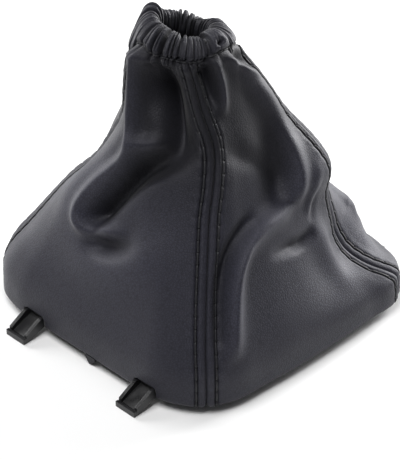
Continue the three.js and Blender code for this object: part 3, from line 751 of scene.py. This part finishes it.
def plastic_material():
    """Moulded black plastic: low gloss with a faint uneven surface and softened edges."""
    made, nodes, links, shader = material("frame_plastic")
    where = nodes.new("ShaderNodeTexCoord").outputs["Object"]
    patches = noise(nodes, links, where, scale=220, detail=4)
    colour = ramp(nodes, grey(0.008, blue=1.1), grey(0.014, blue=1.1), low_at=0.35, high_at=0.65)
    links.new(patches.outputs["Fac"], colour.inputs["Fac"])
    links.new(colour.outputs["Color"], shader.inputs["Base Color"])
    shine = ramp(nodes, grey(0.24), grey(0.42), low_at=0.3, high_at=0.7)
    links.new(patches.outputs["Fac"], shine.inputs["Fac"])
    links.new(shine.outputs["Color"], shader.inputs["Roughness"])
    soft_edges = nodes.new("ShaderNodeBevel")
    soft_edges.inputs["Radius"].default_value = 0.0003
    fine = noise(nodes, links, where, scale=1500, detail=2)
    rough = bump(nodes, links, fine.outputs["Fac"], distance=0.00006, strength=0.3)
    links.new(soft_edges.outputs["Normal"], rough.inputs["Normal"])
    links.new(rough.outputs["Normal"], shader.inputs["Normal"])
    return made


def thread_material():
    """Black sewing thread with its twist."""
    made, nodes, links, shader = material("sewing_thread")
    where = nodes.new("ShaderNodeTexCoord").outputs["Object"]
    twist = noise(nodes, links, where, scale=2500, detail=2)
    colour = ramp(nodes, grey(0.003, blue=1.6), grey(0.008, blue=1.6), low_at=0.35, high_at=0.65)
    links.new(twist.outputs["Fac"], colour.inputs["Fac"])
    links.new(colour.outputs["Color"], shader.inputs["Base Color"])
    shader.inputs["Roughness"].default_value = 0.6
    strands = bump(nodes, links, twist.outputs["Fac"], distance=0.0001, strength=0.6)
    links.new(strands.outputs["Normal"], shader.inputs["Normal"])
    return made


def elastic_material():
    """Ribbed black elastic."""
    made, nodes, links, shader = material("woven_elastic")
    where = nodes.new("ShaderNodeTexCoord").outputs["Object"]
    ribs = nodes.new("ShaderNodeTexWave")
    ribs.bands_direction = "Z"
    ribs.inputs["Scale"].default_value = 300
    links.new(where, ribs.inputs["Vector"])
    colour = ramp(nodes, grey(0.006), grey(0.02))
    links.new(ribs.outputs["Color"], colour.inputs["Fac"])
    links.new(colour.outputs["Color"], shader.inputs["Base Color"])
    shader.inputs["Roughness"].default_value = 0.85
    weave = bump(nodes, links, ribs.outputs["Fac"], distance=0.0002, strength=0.5)
    links.new(weave.outputs["Normal"], shader.inputs["Normal"])
    return made


LEATHER_LOOK = leather_material()
PLASTIC_LOOK = plastic_material()
THREAD_LOOK = thread_material()
ELASTIC_LOOK = elastic_material()


# Panels

def cut_notches(obj, turn):
    """Notches in the hem let the snap clips through; turn is 1 in front and -1 at the rear."""
    cutters = []
    for centre in (CLIP_SHIFT - CLIP_OFFSET, CLIP_SHIFT + CLIP_OFFSET):
        x0, x1 = centre - NOTCH_WIDTH / 2, centre + NOTCH_WIDTH / 2
        side_top, bend = NOTCH_TOP - NOTCH_CORNER, NOTCH_TOP - NOTCH_CHAMFER
        arch = [(x0, NOTCH_FOOT), (x1, NOTCH_FOOT), (x1, side_top), (x1 - NOTCH_CHAMFER, bend),
                (x1 - NOTCH_CORNER, NOTCH_TOP), (x0 + NOTCH_CORNER, NOTCH_TOP),
                (x0 + NOTCH_CHAMFER, bend), (x0, side_top)]
        points, faces = prism(arch, -BASE_HALF - NOTCH_OUTWARD, -BASE_HALF + NOTCH_INWARD)
        mesh = bpy.data.meshes.new("cutter")
        mesh.from_pydata((points * (turn, turn, 1) * MM).tolist(), [], faces)
        cutter = bpy.data.objects.new("cutter", mesh)
        bpy.context.scene.collection.objects.link(cutter)
        cut = obj.modifiers.new("notch", "BOOLEAN")
        cut.operation = "DIFFERENCE"
        cut.solver = "EXACT"
        cut.object = cutter
        cutters.append(cutter)
    graph = bpy.context.evaluated_depsgraph_get()
    mesh = bpy.data.meshes.new_from_object(obj.evaluated_get(graph))
    obj.modifiers.clear()
    obj.data = mesh
    for cutter in cutters:
        bpy.data.objects.remove(cutter)


def make_panel(name, side):
    panel = Panel(side)
    rows, columns = panel.outside.shape[:2]
    points = np.vstack([panel.outside.reshape(-1, 3), panel.inside().reshape(-1, 3)])
    obj = new_object(name, points, skin_faces(rows, columns), LEATHER_LOOK, "leather")
    # Each point's painted light goes to the mesh for the leather's colour; the inner face gets
    # full painted shade
    painted_light_attr = obj.data.attributes.new("painted_light", "FLOAT", "POINT")
    painted_light_attr.data.foreach_set("value", np.append(panel.painted_light.ravel(), np.zeros(panel.painted_light.size)))
    return obj, panel


# Thread

def tube(name, path, normals, radius):
    """Thread along a path; normals keep its section from twisting."""
    tangent = np.gradient(path, axis=0)
    tangent /= np.linalg.norm(tangent, axis=1, keepdims=True)
    across = np.cross(tangent, normals)
    across /= np.linalg.norm(across, axis=1, keepdims=True)
    up = np.cross(across, tangent)
    angles = np.arange(THREAD_SIDES) * 2 * math.pi / THREAD_SIDES
    rings = path[:, None] + radius * (np.cos(angles)[None, :, None] * across[:, None]
                                      + np.sin(angles)[None, :, None] * up[:, None])
    grid = np.arange(len(path) * THREAD_SIDES).reshape(len(path), THREAD_SIDES)
    after = np.roll(grid, -1, axis=1)
    faces = [tuple(f) for f in quads(grid[:-1], after[:-1], after[1:], grid[1:])]
    faces += [tuple(reversed(grid[0])), tuple(grid[-1])]
    new_object(name, rings.reshape(-1, 3), faces, THREAD_LOOK, "leather")


def even_steps(points, normals, lengths, step):
    """Distances along a row of the skin's points, with the point and normal at each."""
    t = np.arange(lengths[0], lengths[-1], step)
    path, normal = [np.column_stack([np.interp(t, lengths, row[:, k]) for k in range(3)])
                    for row in (points, normals)]
    return t, path, normal


def over_leather(t, pitch):
    """0 where the thread goes down a hole, 1 where it lies on the leather."""
    return np.clip(np.sin(math.pi * np.mod(t / pitch, 1)) * THREAD_RISE, 0, 1)


def topstitch(name, panel, column):
    """Thread of one topstitch row: over the leather, then down through each hole."""
    rows = slice(FIRST_STITCHED_ROW, panel.closing_row - 1)
    t, path, normal = even_steps(panel.outside[rows, column], panel.normals[rows, column],
                                 panel.stitch_lengths[rows], THREAD_STEP)
    height = stitch_row_depth(t) - THREAD_SINK + THREAD_LIFT * over_leather(t, STITCH_PITCH)
    tube(name, path + normal * height[:, None], normal, THREAD_RADIUS)


def casing_stitch(name, panel):
    """Thread of the casing's row, in the pinch at the foot of the casing."""
    points = panel.outside[panel.closing_row, ::2]
    normals = panel.normals[panel.closing_row, ::2]
    lengths = np.append(0, np.cumsum(np.linalg.norm(np.diff(points, axis=0), axis=1)))
    t, path, normal = even_steps(points, normals, lengths, CASING_STEP)
    height = CASING_LIFT * over_leather(t, CASING_PITCH) - CASING_SINK
    tube(name, path + normal * height[:, None], normal, CASING_THREAD)


PANEL_NAMES = ["right", "rear", "left", "front"]
panels = {}
for side, name in enumerate(PANEL_NAMES):
    panels[name], panel = make_panel(f"{name}_leather", side)
    topstitch(f"{name}_topstitch_start", panel, STITCH_COLUMN)
    topstitch(f"{name}_topstitch_end", panel, -1 - STITCH_COLUMN)
    casing_stitch(f"{name}_casing_stitch", panel)
cut_notches(panels["front"], 1)
cut_notches(panels["rear"], -1)
for name, obj in panels.items():
    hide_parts(f"{name}_panel")

cad_frame = bpy.data.objects["base_frame"]
cad_frame.data.materials.clear()
cad_frame.data.materials.append(PLASTIC_LOOK)


# Elastic inside the casing

def make_elastic():
    """The same ring as the solid, drawn in so that it follows the rise and dip of the casing."""
    inner, outer = ELASTIC["inner"], ELASTIC["inner"] + ELASTIC["thickness"]
    low, high = ELASTIC["lift"], ELASTIC["lift"] + ELASTIC["height"]
    u = np.arange(ELASTIC["steps"]) * PANELS / ELASTIC["steps"]
    rise = soft_bumps(COLLAR_RISE, u)
    section = [(outer, low), (outer, high), (inner, high), (inner, low)]
    points = np.stack([collar_point(u, radius, rise + height) for radius, height in section], 1)
    grid = np.arange(len(u) * 4).reshape(len(u), 4)
    after, beside_it = np.roll(grid, -1, axis=0), np.roll(grid, -1, axis=1)
    faces = quads(grid, after, np.roll(after, -1, axis=1), beside_it)
    obj = new_object("elastic_ring", points.reshape(-1, 3), faces, ELASTIC_LOOK, ELASTIC_SLOT,
                     smooth=False)
    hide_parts("collar_elastic")


make_elastic()


# Tongue at the middle of the front hem

front = -BASE_HALF - TONGUE_PROUD
new_object("front_tongue", *prism(TONGUE_OUTLINE, front, front + TONGUE_THICKNESS), LEATHER_LOOK,
           "leather", smooth=False)


# Floor, light and camera

def make_floor():
    mesh = bpy.data.meshes.new("floor")
    half = 3.0
    mesh.from_pydata([(-half, -half, 0), (half, -half, 0), (half, half, 0), (-half, half, 0)], [],
                     [(0, 1, 2, 3)])
    floor = bpy.data.objects.new("floor", mesh)
    bpy.context.scene.collection.objects.link(floor)
    made, nodes, links, shader = material("pale_floor")
    shader.inputs["Base Color"].default_value = (0.9, 0.9, 0.9, 1)
    shader.inputs["Roughness"].default_value = 0.9
    mesh.materials.append(made)


def area_light(name, place, target, size, power):
    light = bpy.data.lights.new(name, "AREA")
    light.shape = "RECTANGLE"
    light.size, light.size_y = size
    light.energy = power
    obj = bpy.data.objects.new(name, light)
    bpy.context.scene.collection.objects.link(obj)
    place, target = np.array(place, float), np.array(target, float)
    obj.location = place
    back = place - target
    obj.rotation_euler = (math.atan2(math.hypot(back[0], back[1]), back[2]), 0,
                          math.atan2(back[0], -back[1]))


def make_world():
    world = bpy.data.worlds.new("studio")
    bpy.context.scene.world = world
    world.use_nodes = True
    soft = world.node_tree.nodes["Background"]
    soft.inputs["Color"].default_value = (1, 1, 1, 1)
    soft.inputs["Strength"].default_value = 0.11


def make_camera():
    azimuth, elevation = math.radians(VIEW_AZIMUTH), math.radians(VIEW_ELEVATION)
    level = math.cos(elevation)
    back = np.array([math.sin(azimuth) * level, -math.cos(azimuth) * level,
                     math.sin(elevation)])
    camera = bpy.data.cameras.new("camera")
    camera.sensor_fit = "HORIZONTAL"
    camera.sensor_width = 36
    camera.lens = FOCAL_PIXELS / IMAGE_WIDTH * camera.sensor_width
    camera.clip_end = 20
    obj = bpy.data.objects.new("camera", camera)
    bpy.context.scene.collection.objects.link(obj)
    obj.location = (VIEW_TARGET + back * VIEW_DISTANCE) * MM
    pitch = elevation + math.atan(AIM_DOWN / FOCAL_PIXELS)
    yaw = azimuth - math.atan(AIM_RIGHT / FOCAL_PIXELS)
    obj.rotation_euler = (math.pi / 2 - pitch, 0, yaw)
    bpy.context.scene.camera = obj


def beside(right, toward, up):
    """A place to the right of the object, toward the camera and up, as the camera sees it."""
    azimuth = math.radians(VIEW_AZIMUTH)
    sideways = np.array([math.cos(azimuth), math.sin(azimuth), 0])
    near = np.array([math.sin(azimuth), -math.cos(azimuth), 0])
    return sideways * right + near * toward + np.array([0, 0, up])


make_floor()
make_world()
make_camera()
middle = (0, 0, 0.05)
area_light("key_right", beside(right=1.0, toward=-0.92, up=0.46), middle, size=(0.7, 0.9),
           power=35)
area_light("fill_left", beside(right=-0.95, toward=-0.8, up=0.45), middle, size=(0.7, 0.9),
           power=16)
area_light("top", beside(right=-0.3, toward=0.25, up=1.25), middle, size=(0.8, 0.8), power=14)
bpy.context.scene.view_settings.view_transform = "Standard"
